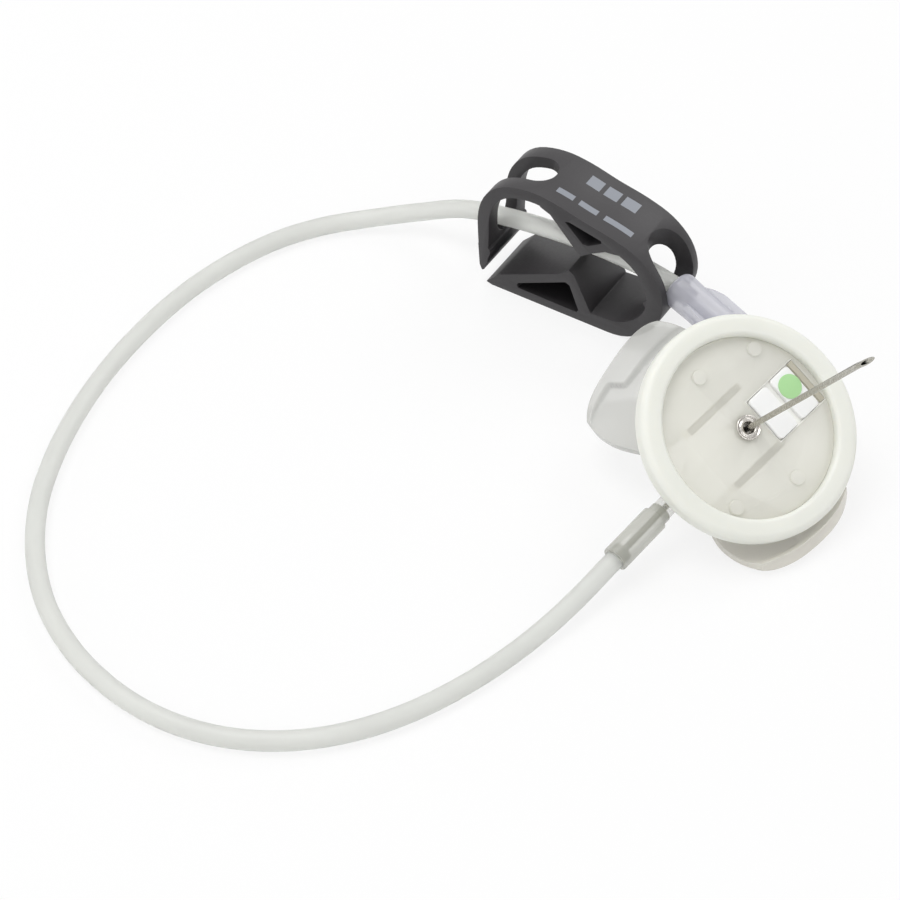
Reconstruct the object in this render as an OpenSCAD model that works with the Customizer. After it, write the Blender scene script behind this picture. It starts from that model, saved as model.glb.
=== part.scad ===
// Safety infusion needle set: a bent hollow needle under a round skin base, two soft grip
// wings, a loop of tubing with a pinch clamp, and a female luer connector on its far end.
// It lies as it comes to rest, with the clamp standing on its foot.
// The origin is where the needle passes the skin face, and +X runs along the clamp.

/* [Lie] */
// Height of the skin face centre over the table
skin_height = 12.6; // [12.6:0.1:14]
// Turn of the needle head about its tube arm
head_roll = -34.7; // [-35.5:0.1:-34]
// Dip of the tube arm towards the table
head_pitch = 10.8; // [10.4:0.1:11.2]
// Heading of the tube arm on the table
head_yaw = -99.3; // [-100:0.1:-98.5]

/* [Needle] */
// Outer diameter of the needle tube
needle_od = 0.72; // [0.5:0.01:0.9]
// Inner diameter of the needle tube
needle_id = 0.41; // [0.2:0.01:0.45]
// Length of straight needle in front of the skin face
needle_reach = 30.2; // [15:0.1:32]
// Angle of the deflected point
tip_bend = 9; // [4:0.5:11]
// Way that the point is deflected, about the needle
tip_turn = 0; // [0:1:360]
// Distance from the needle axis to the ground face
tip_grind = 0.4; // [0.36:0.01:0.45]
// Depth of the tube arm behind the skin face
arm_depth = 5.5; // [5.3:0.1:6]
// Radius of the elbow, on the needle axis
elbow_radius = 0.9; // [0.7:0.1:1.2]
// Sideways swing of the tube arm
arm_swing = 2; // [0:0.5:3]
// Length of the tube arm from the needle axis
arm_length = 19.5; // [17:0.1:19.5]

/* [Skin base] */
// Outer diameter of the soft ring
ring_od = 27.6; // [26.6:0.1:28.5]
// Width of the soft ring
ring_width = 2.7; // [2:0.1:3.2]
// Thickness of the soft ring
ring_thickness = 3.1; // [2.8:0.1:3.3]
// Rounding of the ring's outer edges
ring_round = 1.1; // [0.5:0.1:1.3]
// Depth of the window plate below the skin face
recess_depth = 1.2; // [1:0.1:1.5]
// Thickness of the window plate
plate_thickness = 1.3; // [1:0.1:1.4]
// Diameter of the four pips
pip_od = 1.8; // [1.2:0.1:2.2]
// Height of the four pips
pip_height = 0.5; // [0.3:0.1:0.7]
// Distance between the middles of the two rails
rail_spacing = 8.4; // [8:0.1:9]
// Thickness of a rail
rail_wall = 0.9; // [0.6:0.1:1.1]
// Length of a rail
rail_length = 9; // [7:0.1:10]
// Depth of the rails behind the plate
rail_depth = 2.2; // [1.8:0.1:2.4]

/* [Safety insert] */
// Bore of the steel eyelet round the needle
eyelet_bore = 1.34; // [1.3:0.01:1.5]
// Outer diameter of the eyelet's barrel
eyelet_od = 2.2; // [2:0.1:2.6]
// Outer diameter of the eyelet's flange
flange_od = 3.1; // [2.8:0.1:3.6]
// Thickness of the eyelet's flange
flange_thickness = 0.45; // [0.3:0.05:0.6]
// Room between the eyelet's barrel and the needle's arm
barrel_room = 1.4; // [1.2:0.1:1.7]
// Width of the folded steel clip
clip_width = 3.2; // [3:0.1:3.6]
// Length of the folded steel clip along the tube arm
clip_length = 2.6; // [2.4:0.1:2.8]
// Thickness of the clip's strip
clip_strip = 0.25; // [0.15:0.05:0.3]

/* [Indicator window] */
// Width of the white window plates
window_width = 6; // [5:0.1:6.4]
// Length of each white window plate
tile_length = 3.1; // [2.5:0.1:3.2]
// Distance from the needle to the inner window plate
window_start = 2.2; // [2:0.1:2.4]
// Groove between the two white plates
window_groove = 0.75; // [0.4:0.05:0.8]
// Rise of the white plates over the window plate
tile_rise = 0.3; // [0.2:0.05:0.5]
// Diameter of the green dot
dot_od = 3; // [2:0.1:3]
// Thickness of the green dot
dot_thickness = 0.15; // [0.1:0.05:0.25]
// Length of the tan bar along the window
bar_length = 0.7; // [0.5:0.1:0.8]

/* [Hub] */
// Width of the hub across the wings
hub_width = 9.4; // [9:0.1:10]
// Length of the hub along the tube arm
hub_length = 14; // [12:0.1:15]
// Width of the hub's neck between the rails
neck_width = 6.8; // [6:0.1:6.9]
// Gap between the hub and the base
base_gap = 0.3; // [0.25:0.05:0.4]
// Height of the hub's shoulder behind the skin face
shoulder_depth = 5.4; // [5.2:0.1:5.6]
// Height of the hub's back behind the skin face
hub_depth = 11; // [10.5:0.1:11.5]
// Diameter of the hub's nose
nose_od = 2.5; // [2.2:0.1:2.8]
// Distance from the needle axis to the nose's end
nose_end = 13.5; // [12.5:0.1:14.5]
// Room round the glued needle
glue_gap = 0.02; // [0.01:0.01:0.04]

/* [Wings] */
// Width of a wing along the tube arm
wing_width = 17.3; // [15:0.1:18]
// Length of the right wing from the hub
right_wing_length = 12.6; // [11:0.1:12.6]
// Length of the left wing from the hub
left_wing_length = 13.6; // [11:0.1:14]
// Thickness of a wing's web
wing_web = 0.9; // [0.7:0.05:1.1]
// Extra thickness at a wing's rim
wing_rim = 0.7; // [0.3:0.05:0.8]
// Depth of a wing's hollow
wing_cup = 1.5; // [0.5:0.1:2]

/* [Tubing] */
// Outer diameter of the tubing
tube_od = 2.4; // [2.2:0.05:2.45]
// Outer diameter of the connecting sleeve
sleeve_od = 3.3; // [3:0.05:3.6]
// Length of the connecting sleeve
sleeve_length = 8.5; // [7.5:0.1:9]
// Depth of the tubing in the sleeve and in the luer
tube_insert = 1.6; // [1.3:0.1:2]

/* [Clamp] */
// Depth of the pinch clamp, front to back
clamp_depth = 9.2; // [8.4:0.1:10.5]
// Width of the tube slot in the clamp's hook end
slot_width = 4.8; // [4.4:0.1:5.2]
// Width of the tube slot in the clamp's hinge bend
bend_slot_width = 6.8; // [6.2:0.1:6.9]
// Height of the bottom of the hook end's slot over the foot
slot_floor = 6.2; // [5.6:0.1:6.4]
// Height of the bottom of the hinge bend's slot over the foot
bend_slot_floor = 5.1; // [4.8:0.1:5.3]
// Thickness of the web between the jaw pockets
pocket_web = 1.2; // [0.8:0.1:2]
// Radius of the small stop inside the hinge bend
stop_radius = 0.75; // [0.5:0.05:0.9]

/* [Luer] */
// Outer diameter of the luer's tube socket
socket_od = 4.8; // [4.4:0.1:5]
// Overall length of the luer connector
luer_length = 20.5; // [19:0.5:20.5]
// Outer diameter of the luer's lock end
lock_od = 6.4; // [6:0.1:6.6]
// Width across the two thread lugs
lug_span = 7.8; // [7.4:0.1:7.8]
// Reach of the three grip ribs from the luer's axis
rib_reach = 3.2; // [3:0.05:3.5]
// Bore of the luer taper at its mouth
taper_bore = 4.27; // [4.2:0.01:4.3]
// Length of the luer taper
taper_length = 7.5; // [7:0.1:8]

/* [Hidden] */

fine = 96;
plain = 48;
small = 24;

// The window's recess in the plate stops short of the plate's edge, and so does its bar.
// It lies a little to one side of the tube's line, and its dot a little to the other.
seat_gap = 0.02;
window_seat = 0.4;
window_room = 0.1;
window_rim = 0.25;
window_shift = 0.75;
dot_shift = 0.9;
bar_gap = 0.3;

table_z = -skin_height;
ring_or = ring_od / 2;
ring_ir = ring_or - ring_width;
plate_r = ring_ir - seat_gap;
plate_front = -recess_depth;
plate_back = plate_front - plate_thickness;
ring_back = -ring_thickness;
rail_back = plate_back - rail_depth;
barrel_back = -arm_depth + barrel_room;
barrel_length = plate_front - barrel_back;
hub_front = ring_back - base_gap;
window_end = window_start + 2 * tile_length + window_groove;
bar_start = window_end + bar_gap;

// The clamp's place on the table: the middle of its length and its front face
clamp_x = -34.4;
clamp_y = 15.2;
clamp_turn = 3.4;
// The luer's mouth of the tube socket, and the way it points
luer_start = [-22.9, 19.8, -4.3];
luer_yaw = -8.5;
luer_dip = 14.4;
luer_rib_turn = 126;

// The tubing's route, from inside the sleeve round the loop, through the clamp and
// into the luer. It lies on the table where its middle is at -11.4.
tube_route = [
    [-5.6, -18.5, -8.7], [-6, -21.4, -9.3], [-6.7, -27, -10.4], [-7.7, -33.2, -11.2],
    [-9, -39.5, -11.4], [-10.9, -46, -11.4], [-13.5, -52, -11.4], [-16.8, -57.2, -11.4],
    [-20.8, -61.5, -11.4], [-25.5, -64.8, -11.4], [-30.8, -67, -11.4],
    [-36.8, -68, -11.4], [-43.2, -67.6, -11.4], [-50.2, -65.7, -11.4],
    [-57.4, -61.9, -11.4], [-63.7, -56.3, -11.4], [-68.7, -49.6, -11.4],
    [-72.3, -42.2, -11.4], [-74.9, -34.4, -11.4], [-76.6, -26.3, -11.4],
    [-77.4, -18.1, -11.4], [-77.3, -10, -11.4], [-76.1, -2.5, -11.4],
    [-74, 4.1, -11.4], [-70.8, 9.8, -11.4], [-66.4, 14.3, -11], [-60.7, 17.6, -9.4],
    [-54.6, 19, -6.8], [-48, 19.1, -4.9], [-41, 19.3, -3.8], [-34.4, 19.6, -3.4],
    [-28, 19.8, -3.6], [-22.9, 19.8, -4.3], [-20.3, 19.4, -5]
];
tube_sides = 8;
tube_steps = 2;

// The head's own frame: the skin face is its XY plane, +Z points down the needle,
// +X runs out along the tube arm and the right wing is on the +Y side.
module head() {
    rotate([head_roll, head_pitch, head_yaw]) children();
}

// The tube arm's frame in the head: +X along the arm, at the arm's depth.
module arm() {
    translate([0, 0, -arm_depth]) rotate([0, 0, arm_swing]) children();
}

module rod_x(start, end, r, facets = small) {
    translate([start, 0, 0]) rotate([0, 90, 0]) cylinder(h = end - start, r = r, $fn = facets);
}

// A quarter or shorter bend that starts upwards at the origin and turns towards +X.
module bend_rod(r, bend_r, angle) {
    translate([bend_r, 0, 0]) rotate([90, 0, 180])
        rotate_extrude(angle = angle, $fn = fine) translate([bend_r, 0]) circle(r = r, $fn = small);
}

// The needle's shaft and tube arm as a solid rod, joined by the elbow.
module shaft_rod(r, arm_end) {
    elbow_z = -arm_depth + elbow_radius;
    translate([0, 0, elbow_z]) {
        rotate([0, 0, tip_turn])
            cylinder(h = needle_reach - elbow_z, r = r, $fn = small);
        rotate([0, 0, arm_swing]) mirror([0, 0, 1]) bend_rod(r, elbow_radius, 90);
    }
    arm() rod_x(elbow_radius, arm_end, r);
}

// The deflected point as a solid rod, longer than its ground tip. It is a hair thinner
// than the shaft and starts inside it, so that the bend is closed all round.
point_swage = 0.01;
point_lap = 0.07;
module point_rod(r, length) {
    translate([0, 0, needle_reach]) rotate([0, tip_bend, tip_turn]) translate([0, 0, -point_lap])
        cylinder(h = length + point_lap, r = r - point_swage, $fn = small);
}

module needle_cannula() {
    point_length = (tip_grind + needle_od) / sin(tip_bend);
    color("lightsteelblue") head() difference() {
        union() {
            shaft_rod(needle_od / 2, arm_length);
            point_rod(needle_od / 2, point_length);
        }
        shaft_rod(needle_id / 2, arm_length + 1);
        point_rod(needle_id / 2, point_length + 1);
        translate([0, 0, needle_reach]) rotate([0, 0, tip_turn])
            translate([tip_grind, -2, -1]) cube([3, 4, point_length + 4]);
    }
}

// A box with rounded upright corners, standing on its own XY plane.
module round_box(length, width, height, r) {
    linear_extrude(height) offset(r = r, $fn = small)
        square([length - 2 * r, width - 2 * r], center = true);
}

module hub_profile(width, front, back, crown) {
    translate([-width / 2, back + crown]) square([width, front - back - crown]);
    translate([-width / 2 + crown, back]) square([width - 2 * crown, crown + 1]);
    for (side = [-1, 1])
        translate([side * (width / 2 - crown), back + crown]) circle(r = crown, $fn = plain);
}

module needle_hub() {
    neck_length = hub_length - 2;
    crown = 2.6;
    overlap = 1;
    flare = 0.9;
    flare_length = 1.6;
    clip_room = 0.35;
    clip_depth = arm_depth - 0.6;
    color("gainsboro", 0.6) head() difference() {
        union() {
            translate([0, 0, -shoulder_depth - overlap])
                linear_extrude(hub_front + shoulder_depth + overlap)
                    square([neck_length, neck_width], center = true);
            translate([-hub_length / 2, 0, 0]) rotate([90, 0, 90])
                linear_extrude(hub_length)
                    hub_profile(hub_width, -shoulder_depth, -hub_depth, crown);
            arm() rod_x(hub_length / 2 - overlap, nose_end, nose_od / 2, plain);
            arm() translate([hub_length / 2 - 0.01, 0, 0]) rotate([0, 90, 0])
                cylinder(h = flare_length, r1 = nose_od / 2 + flare, r2 = nose_od / 2, $fn = plain);
        }
        shaft_rod(needle_od / 2 + glue_gap, nose_end + 1);
        translate([0, 0, (hub_front - clip_depth) / 2])
            cube([clip_length + 2 * clip_room, clip_width + 2 * clip_room,
                  clip_depth + hub_front], center = true);
    }
}

// A wing in its own frame: +Y away from the hub, +X along the tube arm, +Z towards the
// skin. It curls from one angle to another, twists towards its edge and has a thick rim.
// It widens from its root, and its far edge is bowed.
wing_bow = 0.15;
function wing_half_width(u) =
    wing_width / 2 * (0.72 + 0.28 * sin(90 * min(1, u * 1.8)))
    * (1 - 0.12 * pow(max(0, u - 0.6) / 0.4, 2));
function wing_fold(u, start, end) = start + (end - start) * u;
function wing_mid(u, start, end, length) =
    let (turn = (end - start) * PI / 180, a = wing_fold(u, start, end))
    length / turn * [0, sin(a) - sin(start), cos(start) - cos(a)];
function wing_point(u, v, side, start, end, twist, length) =
    let (s = u * (1 - wing_bow * pow(abs(v), 2.6)),
         a = wing_fold(s, start, end),
         t = twist * u,
         across = v * wing_half_width(u),
         edge = max(pow(abs(v), 6), pow(u, 7)),
         hollow = wing_cup * (1 - v * v) * sin(180 * min(1, u * 0.9)),
         half = (wing_web + wing_rim * edge) / 2 * (1 - 0.35 * pow(abs(v), 10)),
         h = side * half - hollow,
         x = across * cos(t) - h * sin(t),
         k = across * sin(t) + h * cos(t))
    wing_mid(s, start, end, length) + [x, -k * sin(a), k * cos(a)];

wing_rows = 10;
wing_columns = 12;

module wing_sheet(start, end, twist, length) {
    across = wing_columns + 1;
    total = (wing_rows + 1) * across;
    points = [
        for (side = [1, -1], i = [0:wing_rows], j = [0:wing_columns])
            wing_point(i / wing_rows, 2 * j / wing_columns - 1, side, start, end, twist, length)
    ];
    upper = [
        for (i = [0:wing_rows - 1], j = [0:wing_columns - 1])
            let (k = i * across + j)
            each [[k, k + across, k + 1], [k + 1, k + across, k + across + 1]]
    ];
    lower = [for (f = upper) [for (m = [2, 1, 0]) f[m] + total]];
    rim = concat(
        [for (j = [0:wing_columns]) j],
        [for (i = [1:wing_rows]) i * across + wing_columns],
        [for (j = [wing_columns - 1:-1:0]) wing_rows * across + j],
        [for (i = [wing_rows - 1:-1:1]) i * across]
    );
    n = len(rim);
    walls = [
        for (m = [0:n - 1])
            let (p = rim[m], q = rim[(m + 1) % n])
            each [[p, q, q + total], [p, q + total, p + total]]
    ];
    polyhedron(points = points, faces = concat(upper, lower, walls), convexity = 6);
}

// Where the wings grow out of the hub's sides
wing_root_y = hub_width / 2 - 0.8;
right_root = [2.3, wing_root_y, -7.1];
left_root = [1.6, -wing_root_y, -8.1];
// How each wing leaves the hub, how it lies at its edge, and its twist from one to the other
right_curl = [8, 46];
right_twist = 3;
left_curl = [-11.7, -51.6];
left_twist = -17.8;

module right_wing() {
    color("gainsboro", 0.5) head()
        translate(right_root)
            wing_sheet(right_curl[0], right_curl[1], right_twist, right_wing_length);
}

module left_wing() {
    color("gainsboro", 0.5) head()
        translate(left_root) mirror([0, 1, 0])
            wing_sheet(left_curl[0], left_curl[1], left_twist, left_wing_length);
}

module connector_sleeve() {
    sleeve_start = nose_end + 0.05;
    step = 1.2;
    step_depth = 0.3;
    color("lightgray", 0.7) head() arm() difference() {
        union() {
            rod_x(sleeve_start, sleeve_start + 2 * step, sleeve_od / 2 - step_depth, plain);
            rod_x(sleeve_start + step, sleeve_start + sleeve_length, sleeve_od / 2, plain);
        }
        rod_x(sleeve_start - 1, sleeve_start + sleeve_length, needle_od / 2 + glue_gap);
        rod_x(sleeve_start + sleeve_length - tube_insert, sleeve_start + sleeve_length + 1,
              tube_od / 2 + glue_gap, plain);
    }
}

// A smooth curve through the route's points, and rings of points swept along it.
function route_at(i) =
    tube_route[max(0, min(len(tube_route) - 1, i))];
function curve(i, f) =
    let (a = route_at(i - 1), b = route_at(i), c = route_at(i + 1), d = route_at(i + 2))
    0.5 * (2 * b + (c - a) * f + (2 * a - 5 * b + 4 * c - d) * f * f
           + (3 * b - a - 3 * c + d) * f * f * f);
function unit(v) = v / norm(v);

module extension_tube() {
    path = concat(
        [for (i = [0:len(tube_route) - 2], k = [0:tube_steps - 1]) curve(i, k / tube_steps)],
        [tube_route[len(tube_route) - 1]]
    );
    last = len(path) - 1;
    points = [
        for (i = [0:last])
            let (along = unit(path[min(last, i + 1)] - path[max(0, i - 1)]),
                 side = unit(cross([0, 0, 1], along)),
                 up = cross(along, side))
            for (k = [0:tube_sides - 1])
                let (a = 360 * (k + 0.5) / tube_sides)
                path[i] + tube_od / 2 * (cos(a) * side + sin(a) * up)
    ];
    faces = concat(
        [[for (k = [tube_sides - 1:-1:0]) k]],
        [[for (k = [0:tube_sides - 1]) last * tube_sides + k]],
        [
            for (i = [0:last - 1], k = [0:tube_sides - 1])
                let (n = (k + 1) % tube_sides, p = i * tube_sides, q = p + tube_sides)
                each [[p + k, p + n, q + n], [p + k, q + n, q + k]]
        ]
    );
    color("whitesmoke", 0.8) polyhedron(points = points, faces = faces, convexity = 10);
}

// The clamp's side view: one strap from the hook over the top, round the hinge bend and
// along the foot. Each entry is a point on its middle line and its thickness there.
strap = [
    [-13.75, 3.4, 1.1], [-13.85, 7.5, 1.55], [-13.8, 11.4, 1.65], [-12.8, 14.3, 1.7],
    [-10.7, 16.3, 1.65], [-7.3, 17.2, 1.6], [-3.8, 16.9, 1.6], [0.3, 15.8, 1.65],
    [4.5, 14.8, 1.75], [7.8, 13.35, 2], [10.1, 11, 2.2], [11, 8.1, 2.35],
    [10.6, 5.4, 2.3], [8.9, 2.95, 2.25], [6.2, 1.3, 2.2], [2.5, 1, 2],
    [-3, 0.75, 1.5], [-8, 0.75, 1.5], [-12, 0.75, 1.5]
];
strap_steps = 4;

function strap_at(i) = strap[max(0, min(len(strap) - 1, i))];
function strap_curve(i, f) =
    let (a = strap_at(i - 1), b = strap_at(i), c = strap_at(i + 1), d = strap_at(i + 2))
    0.5 * (2 * b + (c - a) * f + (2 * a - 5 * b + 4 * c - d) * f * f
           + (3 * b - a - 3 * c + d) * f * f * f);

module strap_outline() {
    line = concat(
        [for (i = [0:len(strap) - 2], k = [0:strap_steps - 1]) strap_curve(i, k / strap_steps)],
        [strap[len(strap) - 1]]
    );
    last = len(line) - 1;
    function edge(i, side) =
        let (p = line[min(last, i + 1)], q = line[max(0, i - 1)],
             along = unit([p[0] - q[0], p[1] - q[1]]))
        [line[i][0], line[i][1]] + side * line[i][2] / 2 * [-along[1], along[0]];
    polygon(concat([for (i = [0:last]) edge(i, 1)], [for (i = [last:-1:0]) edge(i, -1)]));
}

lower_jaw = [[-13.3, 0.25], [-12.5, 0], [2.6, 0], [2, 2.1], [-0.5, 7.2], [-1.3, 7.7],
             [-2.5, 6.5], [-11.5, 2.2]];
lower_pocket = [[-8.8, 1.75], [-8.6, 2.1], [-1.7, 5.5], [-1.1, 5.2], [0.3, 1.6], [0, 1.2],
                [-8.6, 1.3]];
upper_jaw = [[-6.4, 17.2], [-5.6, 16.2], [-4.2, 15.6], [-0.1, 11.1], [0.5, 10.95],
             [1.7, 11.85], [3.8, 13.1], [5.9, 13.4], [7.6, 13], [5, 15], [0, 16]];
upper_pocket = [[-2.1, 15.4], [-1.5, 15.6], [3.1, 14.6], [3.2, 14.2], [1.3, 12.95],
                [0.6, 12.9]];
hook = [[-14.35, 2.7], [-14, 1.9], [-13.7, 2.1], [-12.8, 5.3], [-12.9, 5.7], [-13.4, 6],
        [-14.6, 6.2]];

// One tube slot: from out beyond the end bend in to its rounded end.
module tube_slot(outside, inside, width, floor) {
    r = width / 2;
    low = min(outside, inside);
    reach = abs(outside - inside);
    translate([low, clamp_depth / 2, floor + r]) rotate([0, 90, 0])
        cylinder(h = reach, r = r, $fn = plain);
    translate([low, clamp_depth / 2 - r, floor + r]) cube([reach, width, 14]);
    translate([inside, clamp_depth / 2, floor + r]) cylinder(h = 14, r = r, $fn = plain);
    translate([inside, clamp_depth / 2, floor + r]) sphere(r = r, $fn = plain);
}

module pinch_clamp() {
    pocket_depth = (clamp_depth - pocket_web) / 2;
    color("dimgray") translate([clamp_x, clamp_y, table_z]) rotate([0, 0, clamp_turn]) difference() {
        union() {
            translate([0, clamp_depth, 0]) rotate([90, 0, 0]) linear_extrude(clamp_depth)
                intersection() {
                    union() {
                        strap_outline();
                        polygon(lower_jaw);
                        polygon(upper_jaw);
                        polygon(hook);
                    }
                    translate([-20, 0]) square([40, 30]);
                }
            translate([9.9, 3, 6.6]) rotate([90, 0, 0])
                cylinder(h = 2.4, r = stop_radius, $fn = small);
        }
        for (front = [-0.01, clamp_depth - pocket_depth + 0.01])
            translate([0, front + pocket_depth, 0]) rotate([90, 0, 0])
                linear_extrude(pocket_depth) {
                    polygon(lower_pocket);
                    polygon(upper_pocket);
                }
        tube_slot(-20, -8.4, slot_width, slot_floor);
        tube_slot(18, 11.1, bend_slot_width, bend_slot_floor);
    }
}

module luer_place() {
    translate(luer_start) rotate([0, luer_dip, luer_yaw]) rotate([0, 90, 0]) children();
}

module luer_connector() {
    barrel_end = luer_length - 8;
    rib_thickness = 1;
    lug_height = 1.6;
    lug_thickness = 1;
    luer_bore = 1.4;
    luer_socket_depth = 2.8;
    socket_r = socket_od / 2;
    socket_round = 1;
    color("lavender", 0.6) luer_place() difference() {
        union() {
            rotate_extrude($fn = fine) {
                polygon([
                    [0, 0], [socket_r - socket_round, 0], [socket_r - socket_round, 1],
                    [socket_r, socket_round], [socket_r - 0.1, 4], [socket_r, barrel_end],
                    [lock_od / 2, barrel_end + 1], [lock_od / 2, luer_length - 0.3],
                    [lock_od / 2 - 0.3, luer_length], [0, luer_length]
                ]);
                translate([socket_r - socket_round, socket_round])
                    circle(r = socket_round, $fn = plain);
            }
            for (turn = [0, 120, 240]) rotate([90, 0, luer_rib_turn + turn])
                translate([0, 0, -rib_thickness / 2]) linear_extrude(rib_thickness) polygon([
                    [0, 2.6], [socket_r - 0.3, 2.8], [rib_reach - 0.35, 4.4],
                    [rib_reach, 5.8], [rib_reach, barrel_end + 0.6], [0, barrel_end + 0.6]
                ]);
            for (turn = [90, 270]) rotate([0, 0, turn])
                translate([0, -lug_height / 2, luer_length - lug_thickness - 0.4])
                    cube([lug_span / 2, lug_height, lug_thickness]);
        }
        translate([0, 0, -1]) cylinder(h = luer_socket_depth + 1, r = tube_od / 2 + glue_gap,
                                       $fn = plain);
        cylinder(h = luer_length, r = luer_bore / 2, $fn = plain);
        translate([0, 0, luer_length - taper_length])
            cylinder(h = taper_length + 0.01, r1 = taper_bore / 2 - taper_length * 0.03,
                     r2 = taper_bore / 2, $fn = fine);
    }
}

module base_ring() {
    color("ivory") head() translate([0, 0, ring_back]) rotate_extrude($fn = fine) {
        translate([ring_ir, 0]) square([ring_width - ring_round, ring_thickness]);
        translate([ring_or - ring_round, ring_round])
            square([ring_round, ring_thickness - 2 * ring_round]);
        for (z = [ring_round, ring_thickness - ring_round])
            translate([ring_or - ring_round, z]) circle(r = ring_round, $fn = small);
    }
}

// Middles of the four pips in the head's frame.
pips = [[0.5, -8.3], [-7.4, -6.3], [-0.5, 8.3], [8, 5.8]];

module base_plate() {
    recess_length = bar_start + bar_length - window_start + 2 * window_room;
    color("aliceblue", 0.5) head() difference() {
        union() {
            translate([0, 0, plate_back])
                cylinder(h = plate_thickness, r = plate_r, $fn = fine);
            for (p = pips) translate([p[0], p[1], plate_front - 0.01])
                cylinder(h = pip_height, r = pip_od / 2, $fn = small);
            for (side = [-1, 1])
                translate([-rail_length / 2 + 1, side * rail_spacing / 2 - rail_wall / 2,
                           rail_back])
                    cube([rail_length, rail_wall, rail_depth + 0.01]);
        }
        translate([0, 0, plate_back - 1])
            cylinder(h = plate_thickness + 2, r = eyelet_od / 2 + seat_gap, $fn = plain);
        translate([0, 0, plate_front - window_seat]) intersection() {
            translate([window_room - window_start - recess_length,
                       window_shift - window_width / 2 - window_room, 0])
                cube([recess_length, window_width + 2 * window_room, 1]);
            cylinder(h = 1, r = plate_r - window_rim, $fn = fine);
        }
    }
}

module needle_eyelet() {
    color("silver") head() translate([0, 0, barrel_back]) difference() {
        union() {
            translate([0, 0, barrel_length + seat_gap])
                cylinder(h = flange_thickness, r = flange_od / 2, $fn = plain);
            cylinder(h = barrel_length + flange_thickness, r = eyelet_od / 2, $fn = plain);
        }
        translate([0, 0, -1]) cylinder(h = barrel_length + 3, r = eyelet_bore / 2, $fn = plain);
    }
}

// A folded strip round the eyelet's barrel, with a leg on either side of the needle.
module tip_clip() {
    clip_front = plate_back - seat_gap;
    leg_depth = arm_depth - needle_od / 2 - 0.35 + plate_back;
    color("silver") head() translate([0, 0, clip_front]) difference() {
        translate([-clip_length / 2, -clip_width / 2, -leg_depth])
            cube([clip_length, clip_width, leg_depth]);
        translate([-clip_length, -clip_width / 2 + clip_strip, -leg_depth - 1])
            cube([2 * clip_length, clip_width - 2 * clip_strip, leg_depth + 1 - clip_strip]);
        translate([0, 0, -leg_depth - 1])
            cylinder(h = leg_depth + 2, r = eyelet_od / 2 + seat_gap, $fn = plain);
    }
}

// Two white plates in the window's recess, with a groove between them.
module window_plates() {
    seat = plate_front - window_seat + seat_gap;
    color("white") head()
        for (start = [window_start, window_start + tile_length + window_groove])
            translate([-start - tile_length / 2, window_shift, seat])
                round_box(tile_length, window_width, tile_rise + window_seat, 0.5);
}

module indicator_dot() {
    middle = window_end - tile_length / 2;
    color("lightgreen") head()
        translate([-middle, window_shift - dot_shift, plate_front + tile_rise + 2 * seat_gap])
            cylinder(h = dot_thickness, r = dot_od / 2, $fn = plain);
}

module window_bar() {
    bar_height = 0.5;
    color("tan") head()
        translate([0, 0, plate_front - window_seat + seat_gap]) intersection() {
            translate([-bar_start - bar_length, window_shift - window_width / 2, 0])
                cube([bar_length, window_width, bar_height]);
            cylinder(h = bar_height, r = plate_r - window_rim - window_room, $fn = fine);
        }
}

needle_cannula();
needle_hub();
left_wing();
right_wing();
connector_sleeve();
extension_tube();
pinch_clamp();
luer_connector();
base_ring();
base_plate();
needle_eyelet();
tip_clip();
window_plates();
indicator_dot();
window_bar();
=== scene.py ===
"""Looks of the safety infusion needle set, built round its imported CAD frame."""
import math

import bmesh
import bpy
from mathutils import Matrix, Vector


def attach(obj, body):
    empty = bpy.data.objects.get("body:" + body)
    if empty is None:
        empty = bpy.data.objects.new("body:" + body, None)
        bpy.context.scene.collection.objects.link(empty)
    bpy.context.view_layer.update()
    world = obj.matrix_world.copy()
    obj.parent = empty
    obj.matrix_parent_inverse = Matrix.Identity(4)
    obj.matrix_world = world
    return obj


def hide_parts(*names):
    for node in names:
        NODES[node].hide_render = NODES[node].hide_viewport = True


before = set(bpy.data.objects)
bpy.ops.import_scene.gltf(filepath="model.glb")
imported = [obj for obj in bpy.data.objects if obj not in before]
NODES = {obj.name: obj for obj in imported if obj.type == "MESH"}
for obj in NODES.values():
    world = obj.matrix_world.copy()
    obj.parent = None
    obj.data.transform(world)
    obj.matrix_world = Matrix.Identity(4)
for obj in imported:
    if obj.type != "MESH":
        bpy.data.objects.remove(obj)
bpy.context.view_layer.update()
MM = 0.001
SET = "needle_set"
BASE = "safety_base"
TABLE = -12.6

# The head's own frame: +Z down the needle, +X out along the tube arm, as in the part.
HEAD = (
    Matrix.Rotation(math.radians(-99.3), 4, "Z")
    @ Matrix.Rotation(math.radians(10.8), 4, "Y")
    @ Matrix.Rotation(math.radians(-34.7), 4, "X")
)
CLAMP_TURN = math.radians(3.4)
CLAMP_PLACE = (-34.4, 15.2, TABLE)

# Camera
CAMERA_PLACE = (0.12822, -0.24500, 0.27024)
CAMERA_TURN = (math.radians(45), 0, math.radians(35))
CAMERA_LENS = 130.9

camera_data = bpy.data.cameras.new("photo_camera")
camera_data.lens = CAMERA_LENS
camera_data.sensor_width = 36
camera_data.clip_start = 0.01
camera_data.clip_end = 20
camera = bpy.data.objects.new("photo_camera", camera_data)
bpy.context.scene.collection.objects.link(camera)
camera.location = CAMERA_PLACE
camera.rotation_euler = CAMERA_TURN
bpy.context.scene.camera = camera


# Materials

def srgb(r, g, b):
    """A colour as picked on screen, 0 to 255, in the linear values that shaders take."""
    def linear(c):
        c /= 255
        return c / 12.92 if c <= 0.04045 else ((c + 0.055) / 1.055) ** 2.4
    return (linear(r), linear(g), linear(b), 1)


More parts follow.
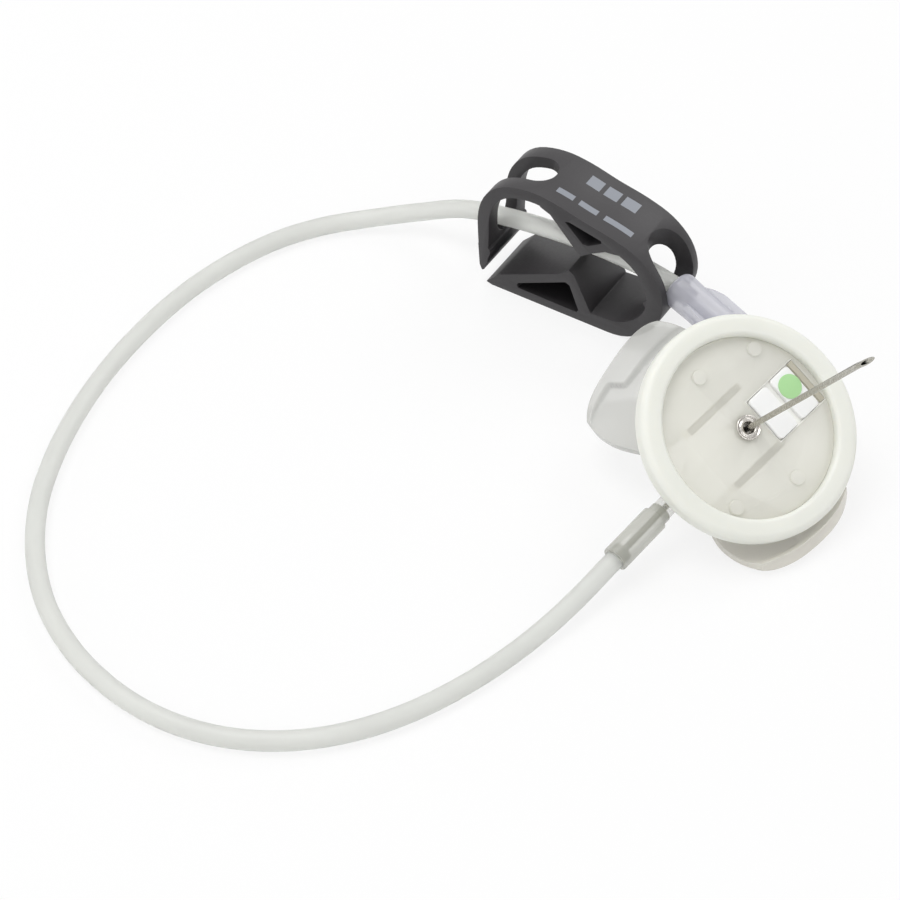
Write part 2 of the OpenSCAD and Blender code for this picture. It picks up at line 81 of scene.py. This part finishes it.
class Graph:
    """A small helper that adds nodes to a material and links them."""

    def __init__(self, name):
        self.material = bpy.data.materials.new(name)
        self.material.use_nodes = True
        self.nodes = self.material.node_tree.nodes
        self.links = self.material.node_tree.links
        self.shader = self.nodes["Principled BSDF"]
        self.coords = self.nodes.new("ShaderNodeTexCoord").outputs["Object"]

    def set(self, **values):
        for key, value in values.items():
            self.shader.inputs[key.replace("_", " ")].default_value = value
        return self

    def noise(self, scale, detail=3, stretch=None):
        node = self.nodes.new("ShaderNodeTexNoise")
        node.inputs["Scale"].default_value = scale
        node.inputs["Detail"].default_value = detail
        source = self.coords
        if stretch is not None:
            place = self.nodes.new("ShaderNodeMapping")
            place.inputs["Rotation"].default_value = stretch[0]
            place.inputs["Scale"].default_value = stretch[1]
            self.links.new(source, place.inputs["Vector"])
            source = place.outputs["Vector"]
        self.links.new(source, node.inputs["Vector"])
        return node.outputs["Fac"]

    def ramp(self, factor, stops):
        node = self.nodes.new("ShaderNodeValToRGB")
        ramp = node.color_ramp
        while len(ramp.elements) < len(stops):
            ramp.elements.new(0.5)
        for element, (at, colour) in zip(ramp.elements, stops):
            element.position = at
            element.color = colour
        self.links.new(factor, node.inputs["Fac"])
        return node.outputs["Color"]

    def span(self, factor, low, high):
        node = self.nodes.new("ShaderNodeMapRange")
        node.inputs["To Min"].default_value = low
        node.inputs["To Max"].default_value = high
        self.links.new(factor, node.inputs["Value"])
        return node.outputs["Result"]

    def facing(self, blend=0.4):
        node = self.nodes.new("ShaderNodeLayerWeight")
        node.inputs["Blend"].default_value = blend
        return node.outputs["Facing"]

    def occlusion_shade(self, reach, grain, amount):
        """1 on open faces and less in folds and corners within reach, slightly uneven, for
        painting shade into a colour.
        """
        corner = self.nodes.new("ShaderNodeAmbientOcclusion")
        corner.samples = 8
        corner.only_local = True
        corner.inputs["Distance"].default_value = reach * MM
        uneven = self.span(grain, -amount, amount)
        return self.maths("ADD", corner.outputs["AO"], uneven)

    def maths(self, operation, a, b):
        node = self.nodes.new("ShaderNodeMath")
        node.operation = operation
        for socket, value in zip(node.inputs, (a, b)):
            if isinstance(value, (int, float)):
                socket.default_value = value
            else:
                self.links.new(value, socket)
        return node.outputs["Value"]

    def bump(self, height, distance, strength=1):
        node = self.nodes.new("ShaderNodeBump")
        node.inputs["Distance"].default_value = distance
        node.inputs["Strength"].default_value = strength
        self.links.new(height, node.inputs["Height"])
        self.links.new(node.outputs["Normal"], self.shader.inputs["Normal"])

    def link(self, socket, name):
        self.links.new(socket, self.shader.inputs[name])
        return self


def plastic(name, light, dark, rough, grain, bump, subsurface=0.0):
    """Opaque moulded plastic, faintly clouded, with a fine grain."""
    g = Graph(name)
    cloud = g.noise(grain * 0.12, 2)
    g.link(g.ramp(cloud, [(0.3, dark), (0.7, light)]), "Base Color")
    g.link(g.span(g.noise(grain, 3), rough - 0.05, rough + 0.05), "Roughness")
    g.bump(g.noise(grain * 4, 2), bump, 0.5)
    if subsurface:
        g.set(Subsurface_Weight=subsurface, Subsurface_Scale=0.003,
              Subsurface_Radius=(1.0, 0.95, 0.85))
    return g.material


def clear(name, tint, rough, ior, grain, bump, through):
    """Clear moulded plastic: light passes through it, and its skin is slightly uneven."""
    g = Graph(name)
    deeper = tuple(c * 0.96 for c in tint[:3]) + (1,)
    g.link(g.ramp(g.noise(grain * 0.2, 2), [(0.3, deeper), (0.7, tint)]), "Base Color")
    g.link(g.span(g.noise(grain, 2), rough - 0.04, rough + 0.04), "Roughness")
    g.bump(g.noise(grain * 0.6, 2), bump, 0.4)
    g.set(Transmission_Weight=through, IOR=ior)
    return g.material


def milky(name, tint, deep, face, edge, rough, reach=1.5):
    """Thin cloudy plastic: see-through when looked at straight on, cloudier at its edges,
    and with painted shade that greys it in its folds and corners."""
    g = Graph(name)
    grain = 700
    # Painted shade: by ambient occlusion, the colour greys towards deep in folds and corners.
    unshaded_share = g.occlusion_shade(reach, g.noise(grain * 0.2, 2), 0.05)
    g.link(g.ramp(unshaded_share, [(0.35, deep), (0.9, tint)]), "Base Color")
    g.link(g.span(g.noise(grain, 2), rough - 0.04, rough + 0.04), "Roughness")
    g.link(g.span(g.facing(0.35), face, edge), "Alpha")
    g.bump(g.noise(grain * 0.5, 2), 0.00002, 0.4)
    g.set(IOR=1.45)
    return g.material


def steel(name, light, dark, rough, axis_turn, scale):
    """Bright metal with fine streaks along the axis that axis_turn brings upright."""
    g = Graph(name)
    streaks = g.noise(scale, 2, (axis_turn, (1, 1, 0.01)))
    g.link(g.ramp(streaks, [(0.25, dark), (0.75, light)]), "Base Color")
    g.link(g.span(streaks, rough - 0.07, rough + 0.07), "Roughness")
    g.bump(streaks, 0.000004, 0.5)
    g.set(Metallic=1.0)
    return g.material


head_turn = HEAD.to_euler()
NEEDLE_STEEL = steel("needle_steel", srgb(204, 202, 195), srgb(166, 163, 155), 0.26,
                     (-head_turn.x, -head_turn.y, -head_turn.z), 9000)
EYELET_STEEL = steel("eyelet_steel", srgb(214, 211, 206), srgb(160, 156, 150), 0.22,
                     (0, 0, 0), 5000)
RING_SOFT = plastic("soft_ring", srgb(236, 237, 229), srgb(232, 233, 225), 0.5, 800,
                    0.00002, 0.35)
TUBE_FROST = clear("frosted_tubing", srgb(236, 237, 233), 0.4, 1.4, 600, 0.00001, 0.5)
SLEEVE_CLEAR = milky("clear_sleeve", srgb(202, 202, 192), srgb(140, 141, 132), 0.5, 0.8, 0.12)
WING_CLEAR = milky("clear_wing", srgb(224, 224, 219), srgb(112, 113, 116), 0.56, 0.88, 0.14, 3)
# A lighter, warmer copy of the same wing plastic for the right wing: painted light, not a
# different plastic.
WING_PAINTED_LIGHT = milky("lit_wing_copy", srgb(240, 236, 224), srgb(182, 179, 166), 0.5, 0.85, 0.14, 2.5)
LUER_CLEAR = milky("clear_luer", srgb(205, 205, 215), srgb(176, 176, 190), 0.5, 0.85, 0.1)
HUB_CLEAR = milky("clear_hub", srgb(246, 246, 240), srgb(222, 222, 214), 0.25, 0.55, 0.25)
PLATE_CLEAR = milky("clear_plate", srgb(247, 246, 237), srgb(214, 214, 204), 0.5, 0.85, 0.22, 0.8)
RAIL_CREAM = milky("cream_rails", srgb(222, 218, 196), srgb(206, 202, 178), 0.8, 0.9, 0.25)
# Lighter white round the window: painted light that hides the shade at the edges of its recess.
SEAT_PAINTED_LIGHT = milky("window_seat", srgb(252, 252, 248), srgb(240, 240, 232), 0.9, 0.95, 0.3)
WHITE = plastic("white_plates", srgb(255, 255, 253), srgb(252, 252, 250), 0.3, 600,
                0.000005, 0.2)
GREEN = plastic("green_dot", srgb(174, 220, 158), srgb(168, 215, 152), 0.4, 900, 0.000004)
TAN = milky("tan_bar", srgb(212, 207, 190), srgb(196, 191, 172), 0.7, 0.9, 0.3)


PRINT_FROM = 13.5
# Rows of printed bars on the clamp's top, each (start, end across, its bars' starts and ends)
PRINT_ROWS = [(5.7, 7.5, [(-2.4, -0.5), (0.1, 2.0), (2.6, 4.7)]),
              (2.0, 2.9, [(-4.6, -2.2), (-1.4, 1.2), (2.2, 6.2)])]


def clamp_material():
    """Dark moulded plastic with a fine spark-eroded grain, two plain rows of print, and painted
    shade in its corners and folds.
    """
    g = Graph("clamp_plastic")
    place = g.nodes.new("ShaderNodeMapping")
    place.vector_type = "TEXTURE"
    place.inputs["Location"].default_value = [v * MM for v in CLAMP_PLACE]
    place.inputs["Rotation"].default_value = (0, 0, CLAMP_TURN)
    g.links.new(g.coords, place.inputs["Vector"])
    split = g.nodes.new("ShaderNodeSeparateXYZ")
    g.links.new(place.outputs["Vector"], split.inputs["Vector"])
    x, y, z = split.outputs

    def inside(value, low, high):
        return g.maths("MULTIPLY", g.maths("GREATER_THAN", value, low * MM),
                       g.maths("LESS_THAN", value, high * MM))

    top = g.maths("GREATER_THAN", z, PRINT_FROM * MM)
    mask = None
    for low, high, bars in PRINT_ROWS:
        across = inside(y, low, high)
        for start, end in bars:
            bar = g.maths("MULTIPLY", across, inside(x, start, end))
            mask = bar if mask is None else g.maths("MAXIMUM", mask, bar)
    mask = g.maths("MULTIPLY", mask, top)
    # Painted shade: by ambient occlusion, the clamp's colour darkens in its corners and folds.
    unshaded_share = g.occlusion_shade(8, g.noise(180, 3), 0.06)
    body = g.ramp(unshaded_share, [(0.35, srgb(27, 25, 27)), (0.95, srgb(50, 48, 50))])
    mix = g.nodes.new("ShaderNodeMix")
    mix.data_type = "RGBA"
    g.links.new(mask, mix.inputs["Factor"])
    g.links.new(body, mix.inputs["A"])
    mix.inputs["B"].default_value = srgb(140, 144, 152)
    g.link(mix.outputs["Result"], "Base Color")
    g.link(g.span(g.noise(2500, 2), 0.42, 0.55), "Roughness")
    g.bump(g.noise(6500, 2), 0.00001, 0.35)
    g.set(IOR=1.5)
    return g.material


CLAMP_DARK = clamp_material()


# Mesh helpers

def add_mesh(name, verts, faces, material, smooth=True):
    """A new object from points in metres and the faces that join them."""
    mesh = bpy.data.meshes.new(name)
    mesh.from_pydata([tuple(v) for v in verts], [], faces)
    mesh.update()
    obj = bpy.data.objects.new(name, mesh)
    bpy.context.scene.collection.objects.link(obj)
    obj.data.materials.append(material)
    if smooth:
        for polygon in mesh.polygons:
            polygon.use_smooth = True
    return obj


def apply_modifiers(obj):
    """Make the shape that an object's modifiers give its own mesh."""
    depsgraph = bpy.context.evaluated_depsgraph_get()
    mesh = bpy.data.meshes.new_from_object(obj.evaluated_get(depsgraph))
    obj.modifiers.clear()
    obj.data = mesh
    return obj


SHARP_EDGE, SMOOTH_BELOW = 32, 38


def softened(node, name, body, material, width):
    """A copy of a CAD node's form with small rounded edges, as moulded plastic has."""
    mesh = NODES[node].data.copy()
    mesh.name = name
    work = bmesh.new()
    work.from_mesh(mesh)
    bmesh.ops.remove_doubles(work, verts=work.verts, dist=2e-6)
    bmesh.ops.dissolve_limit(work, angle_limit=math.radians(0.6), verts=work.verts,
                             edges=work.edges)
    work.to_mesh(mesh)
    work.free()
    obj = bpy.data.objects.new(name, mesh)
    bpy.context.scene.collection.objects.link(obj)
    mesh.materials.clear()
    mesh.materials.append(material)
    if width:
        bevel = obj.modifiers.new("edge", "BEVEL")
        bevel.width = width * MM
        bevel.segments = 2
        bevel.limit_method = "ANGLE"
        bevel.angle_limit = math.radians(SHARP_EDGE)
        apply_modifiers(obj)
    shade_by_angle(obj, SMOOTH_BELOW)
    return stand_for(obj, node, body)


def shade_by_angle(obj, limit):
    """Smooth shading, with edges that turn more than limit degrees left sharp."""
    work = bmesh.new()
    work.from_mesh(obj.data)
    for face in work.faces:
        face.smooth = True
    for edge in work.edges:
        if len(edge.link_faces) == 2:
            edge.smooth = edge.calc_face_angle(0) < math.radians(limit)
    work.to_mesh(obj.data)
    work.free()


def face_outward(obj):
    """Turn all of a closed mesh's faces outward."""
    work = bmesh.new()
    work.from_mesh(obj.data)
    bmesh.ops.recalc_face_normals(work, faces=work.faces)
    work.to_mesh(obj.data)
    work.free()


def stand_for(piece, node, body):
    """Put a piece in a CAD node's place: on its body, with the CAD node hidden."""
    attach(piece, body)
    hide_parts(node)
    return piece


# Tubing
ROUTE = [
    (-5.6, -18.5, -8.7), (-6, -21.4, -9.3), (-6.7, -27, -10.4), (-7.7, -33.2, -11.2),
    (-9, -39.5, -11.4), (-10.9, -46, -11.4), (-13.5, -52, -11.4), (-16.8, -57.2, -11.4),
    (-20.8, -61.5, -11.4), (-25.5, -64.8, -11.4), (-30.8, -67, -11.4),
    (-36.8, -68, -11.4), (-43.2, -67.6, -11.4), (-50.2, -65.7, -11.4),
    (-57.4, -61.9, -11.4), (-63.7, -56.3, -11.4), (-68.7, -49.6, -11.4),
    (-72.3, -42.2, -11.4), (-74.9, -34.4, -11.4), (-76.6, -26.3, -11.4),
    (-77.4, -18.1, -11.4), (-77.3, -10, -11.4), (-76.1, -2.5, -11.4),
    (-74, 4.1, -11.4), (-70.8, 9.8, -11.4), (-66.4, 14.3, -11), (-60.7, 17.6, -9.4),
    (-54.6, 19, -6.8), (-48, 19.1, -4.9), (-41, 19.3, -3.8), (-34.4, 19.6, -3.4),
    (-28, 19.8, -3.6), (-22.9, 19.8, -4.3), (-20.3, 19.4, -5),
]
TUBE_OD = 2.4


def smooth_route(points, steps):
    """A smooth curve through the route's points, with steps short straights to each."""
    def at(i):
        return Vector(points[max(0, min(len(points) - 1, i))])
    out = []
    for i in range(len(points) - 1):
        a, b, c, d = at(i - 1), at(i), at(i + 1), at(i + 2)
        for k in range(steps):
            f = k / steps
            out.append(0.5 * (2 * b + (c - a) * f + (2 * a - 5 * b + 4 * c - d) * f * f
                              + (3 * b - a - 3 * c + d) * f ** 3))
    out.append(at(len(points) - 1))
    return out


centreline = [p * MM for p in smooth_route(ROUTE, 6)]
tube_curve = bpy.data.curves.new("tubing", "CURVE")
tube_curve.dimensions = "3D"
tube_curve.bevel_depth = TUBE_OD / 2 * MM
tube_curve.bevel_resolution = 7
tube_curve.use_fill_caps = True
spline = tube_curve.splines.new("POLY")
spline.points.add(len(centreline) - 1)
for point, place in zip(spline.points, centreline):
    point.co = (*place, 1)
spline.use_smooth = True
tube = bpy.data.objects.new("tubing", tube_curve)
bpy.context.scene.collection.objects.link(tube)
tube_curve.materials.append(TUBE_FROST)
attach(tube, SET)
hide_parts("extension_tube")
luer = softened("luer_connector", "luer", SET, LUER_CLEAR, 0.12)
clamp = softened("pinch_clamp", "moulded_clamp", SET, CLAMP_DARK, 0.16)

# Wings
WING_WIDTH = 17.3
# Thickness of the web, what the rim adds to it, depth of the hollow, and bow of the far edge
WING_WEB, WING_RIM, WING_CUP, WING_BOW = 0.9, 0.7, 1.5, 0.15
# Shares of the full width: at the root, and taken off towards the far edge
ROOT_SHARE, TIP_TAPER = 0.72, 0.12
# The pad begins at this share of the length, and this much further out past the ledge
PAD_START, PAD_LEDGE, PAD_STEP = 0.76, 0.13, 0.035


def ease(value, low, high):
    """Rises smoothly from 0 at low to 1 at high."""
    f = max(0.0, min(1.0, (value - low) / (high - low)))
    return f * f * (3 - 2 * f)


def grip_pad(u, v):
    """1 on the thick pad along a wing's outer edge, 0 on its web, with a sharp step."""
    inner = PAD_START + PAD_LEDGE * ease(v, 0.12, 0.3)
    return ease(u, inner, inner + PAD_STEP)


def wing(name, node, root, curl, twist, length, mirror, pad, material):
    """The part's curled wing, on a finer net: thick round rim and pad, thin hollow web."""
    rows, columns = 64, 72
    start, end = curl

    def half_width(u):
        widening = math.sin(math.radians(90 * min(1, u * 1.8)))
        return (WING_WIDTH / 2 * (ROOT_SHARE + (1 - ROOT_SHARE) * widening)
                * (1 - TIP_TAPER * (max(0, u - 0.6) / 0.4) ** 2))

    def point(u, v, side):
        s = u * (1 - WING_BOW * abs(v) ** 2.6)
        a = math.radians(start + (end - start) * s)
        a0 = math.radians(start)
        turn = math.radians(end - start)
        t = math.radians(twist * u)
        across = v * half_width(u)
        edge = max(abs(v) ** 6, u ** 7)
        hollow = WING_CUP * (1 - v * v) * math.sin(math.radians(180 * min(1, u * 0.9)))
        half = (WING_WEB + WING_RIM * edge) / 2 * (1 - 0.35 * abs(v) ** 10)
        half += pad * grip_pad(u, v) * (1 - abs(v) ** 8)
        h = side * half - hollow
        x = across * math.cos(t) - h * math.sin(t)
        k = across * math.sin(t) + h * math.cos(t)
        mid = (length * (math.sin(a) - math.sin(a0)) / turn,
               length * (math.cos(a0) - math.cos(a)) / turn)
        p = Vector((x, mid[0] - k * math.sin(a), mid[1] + k * math.cos(a)))
        if mirror:
            p.y = -p.y
        return (HEAD @ (p + Vector(root))) * MM

    verts, faces = [], []
    for side in (1, -1):
        for i in range(rows + 1):
            for j in range(columns + 1):
                verts.append(point(i / rows, 2 * j / columns - 1, side))
    across, total = columns + 1, (rows + 1) * (columns + 1)
    for i in range(rows):
        for j in range(columns):
            k = i * across + j
            faces.append((k, k + 1, k + across + 1, k + across))
            faces.append((k + total, k + across + total, k + across + 1 + total, k + 1 + total))
    rim = ([j for j in range(columns + 1)]
           + [i * across + columns for i in range(1, rows + 1)]
           + [rows * across + j for j in range(columns - 1, -1, -1)]
           + [i * across for i in range(rows - 1, 0, -1)])
    for p, q in zip(rim, rim[1:] + rim[:1]):
        faces.append((p, p + total, q + total, q))
    if mirror:
        faces = [f[::-1] for f in faces]
    obj = add_mesh(name, verts, faces, material)
    face_outward(obj)
    bevel = obj.modifiers.new("rim", "BEVEL")
    bevel.width = 0.28 * MM
    bevel.segments = 3
    bevel.limit_method = "ANGLE"
    bevel.angle_limit = math.radians(60)
    apply_modifiers(obj)
    shade_by_angle(obj, 60)
    return stand_for(obj, node, SET)


ROOT_Y = 3.9
# The right wing takes the lighter, warmer copy of the wing plastic, which is painted light.
wing("soft_wing_right", "right_wing", (2.3, ROOT_Y, -7.1), (8, 46), 3, 12.6, False, 0.15,
     WING_PAINTED_LIGHT)
wing("soft_wing_left", "left_wing", (1.6, -ROOT_Y, -8.1), (-11.7, -51.6), -17.8, 13.6, True,
     0.45, WING_CLEAR)

# Turned pieces
def arc(middle, radius, start, end, steps=10):
    """Points of an arc in (distance from the axis, height along it), angles in degrees."""
    turn = [math.radians(start + (end - start) * k / steps) for k in range(steps + 1)]
    return [(middle[0] + radius * math.cos(a), middle[1] + radius * math.sin(a)) for a in turn]


def turned(name, node, body, outline, place, material, segments=160):
    """A closed outline turned about the Z axis of its place, for a round CAD node."""
    verts, faces = [], []
    count = len(outline)
    for k in range(segments):
        a = 2 * math.pi * k / segments
        for r, z in outline:
            verts.append((place @ Vector((r * math.cos(a), r * math.sin(a), z))) * MM)
    for k in range(segments):
        for i in range(count):
            p, q = k * count, (k + 1) % segments * count
            j = (i + 1) % count
            faces.append((p + i, q + i, q + j, p + j))
    obj = add_mesh(name, verts, faces, material)
    face_outward(obj)
    shade_by_angle(obj, 40)
    return stand_for(obj, node, body)


RING_IN, RING_OUT, RING_BACK = 11.1, 13.8, -3.1
# Rounding of the ring's inner, outer, back outer and back inner edges
INNER_ROUND, OUTER_ROUND, BACK_ROUND, FOOT_ROUND = 0.55, 0.95, 1.1, 0.15
PLATE_BACK = -2.5
turned("soft_ring", "base_ring", BASE,
       arc((RING_IN + INNER_ROUND, -INNER_ROUND), INNER_ROUND, 180, 90)
       + arc((RING_OUT - OUTER_ROUND, -OUTER_ROUND), OUTER_ROUND, 90, 0)
       + arc((RING_OUT - BACK_ROUND, RING_BACK + BACK_ROUND), BACK_ROUND, 0, -90)
       + arc((RING_IN + FOOT_ROUND, RING_BACK + FOOT_ROUND), FOOT_ROUND, -90, -180, 3),
       HEAD, RING_SOFT, 220)

EYELET_BORE, BARREL_R, FLANGE_R = 0.67, 1.1, 1.55
FLANGE_BACK, FLANGE_FRONT, BARREL_BACK = -1.18, -0.73, -4.1
LIP_ROUND, RIM_ROUND = 0.28, 0.14
turned("steel_eyelet", "needle_eyelet", BASE,
       [(EYELET_BORE, BARREL_BACK)]
       + arc((EYELET_BORE + LIP_ROUND, FLANGE_FRONT - LIP_ROUND), LIP_ROUND, 180, 60, 8)
       + [(1.16, FLANGE_FRONT - 0.12), (1.24, FLANGE_FRONT - 0.14), (1.32, FLANGE_FRONT - 0.08)]
       + arc((FLANGE_R - RIM_ROUND, FLANGE_FRONT - 0.16), RIM_ROUND, 90, -60, 8)
       + [(FLANGE_R - 0.12, FLANGE_BACK), (BARREL_R, FLANGE_BACK), (BARREL_R, BARREL_BACK + 0.1),
          (BARREL_R - 0.1, BARREL_BACK)],
       HEAD, EYELET_STEEL, 96)

# Moulded and folded pieces
# Plate faces: cream rails, and the lighter white round the window, which is painted light.
RAIL_FINISH, SEAT_LIGHT_INDEX = 1, 2
SEAT_MARGIN = 0.5


def colour_plate(plate):
    """Cream on the plate's rails, as the plastic is there, and a lighter white round its window,
    painted light over the shade of its recess.
    """
    for extra in (RAIL_CREAM, SEAT_PAINTED_LIGHT):
        plate.data.materials.append(extra)
    into_head = (HEAD @ Matrix.Scale(MM, 4)).inverted()
    tiles = [into_head @ v.co for v in NODES["window_plates"].data.vertices]
    low = [min(p[k] for p in tiles) - SEAT_MARGIN for k in (0, 1)]
    high = [max(p[k] for p in tiles) + SEAT_MARGIN for k in (0, 1)]
    for face in plate.data.polygons:
        at = into_head @ face.center
        if at.z < PLATE_BACK - 0.05:
            face.material_index = RAIL_FINISH
        elif all(low[k] < at[k] < high[k] for k in (0, 1)):
            face.material_index = SEAT_LIGHT_INDEX


for node, (name, body, material, edge) in {
    "connector_sleeve": ("sleeve", SET, SLEEVE_CLEAR, 0.1),
    "needle_hub": ("hub", SET, HUB_CLEAR, 0.25),
    "needle_cannula": ("needle", SET, NEEDLE_STEEL, 0),
    "base_plate": ("frosted_plate", BASE, PLATE_CLEAR, 0.14),
    "tip_clip": ("folded_clip", BASE, EYELET_STEEL, 0.04),
    "window_plates": ("white_plates", BASE, WHITE, 0.1),
    "indicator_dot": ("green_dot", BASE, GREEN, 0.03),
    "window_bar": ("tan_bar", BASE, TAN, 0.06),
}.items():
    piece = softened(node, name, body, material, edge)
    if node == "base_plate":
        colour_plate(piece)

# Floor, world, lamps
FLOOR_REACH = 3
FLOOR_WHITE = 0.8
WORLD_LEVEL = 0.48

corners = [(x * FLOOR_REACH, y * FLOOR_REACH, TABLE * MM)
           for x, y in ((-1, -1), (1, -1), (1, 1), (-1, 1))]
floor = add_mesh("floor", corners, [(0, 1, 2, 3)], None, False)


def seen_directly(nodes, links):
    """1 for rays that show the background: straight, mirrored or through clear plastic."""
    path = nodes.new("ShaderNodeLightPath")
    total = path.outputs["Is Camera Ray"]
    for name in ("Is Glossy Ray", "Is Transmission Ray"):
        add = nodes.new("ShaderNodeMath")
        add.operation = "MAXIMUM"
        links.new(total, add.inputs[0])
        links.new(path.outputs[name], add.inputs[1])
        total = add.outputs["Value"]
    return total


paper = bpy.data.materials.new("pale_floor")
paper.use_nodes = True
nodes, links = paper.node_tree.nodes, paper.node_tree.links
nodes.clear()
out = nodes.new("ShaderNodeOutputMaterial")
matte = nodes.new("ShaderNodeBsdfDiffuse")
matte.inputs["Color"].default_value = (0.9, 0.9, 0.9, 1)
glow = nodes.new("ShaderNodeEmission")
glow.inputs["Strength"].default_value = 1
blend = nodes.new("ShaderNodeMixShader")
share = nodes.new("ShaderNodeMath")
share.operation = "MULTIPLY"
share.inputs[1].default_value = FLOOR_WHITE
links.new(seen_directly(nodes, links), share.inputs[0])
links.new(share.outputs["Value"], blend.inputs["Fac"])
links.new(matte.outputs["BSDF"], blend.inputs[1])
links.new(glow.outputs["Emission"], blend.inputs[2])
links.new(blend.outputs["Shader"], out.inputs["Surface"])
floor.data.materials.clear()
floor.data.materials.append(paper)

world = bpy.data.worlds.new("studio")
bpy.context.scene.world = world
world.use_nodes = True
nodes, links = world.node_tree.nodes, world.node_tree.links
nodes.clear()
out = nodes.new("ShaderNodeOutputWorld")
sky = nodes.new("ShaderNodeBackground")
sky.inputs["Color"].default_value = (1, 1, 1, 1)
strength = nodes.new("ShaderNodeMapRange")
strength.inputs["To Min"].default_value = WORLD_LEVEL
strength.inputs["To Max"].default_value = 1.0
links.new(seen_directly(nodes, links), strength.inputs["Value"])
links.new(strength.outputs["Result"], sky.inputs["Strength"])
links.new(sky.outputs["Background"], out.inputs["Surface"])


CENTRE = (-0.03, -0.02, 0)


def lamp(name, place, size, power):
    """A round soft lamp aimed at the middle of the object."""
    data = bpy.data.lights.new(name, "AREA")
    data.shape = "DISK"
    data.size = size
    data.energy = power
    obj = bpy.data.objects.new(name, data)
    bpy.context.scene.collection.objects.link(obj)
    obj.location = place
    direction = Vector(CENTRE) - Vector(place)
    obj.rotation_euler = direction.to_track_quat("-Z", "Y").to_euler()


lamp("key", (-0.25, -0.1, 0.75), 0.5, 2.7)
lamp("fill", (0.6, -0.5, 0.5), 0.6, 1.4)
lamp("side", (-0.55, -0.65, 0.3), 0.6, 1.1)
lamp("back", (0.1, 0.7, 0.6), 0.5, 1.6)

bpy.context.scene.view_settings.view_transform = "Standard"
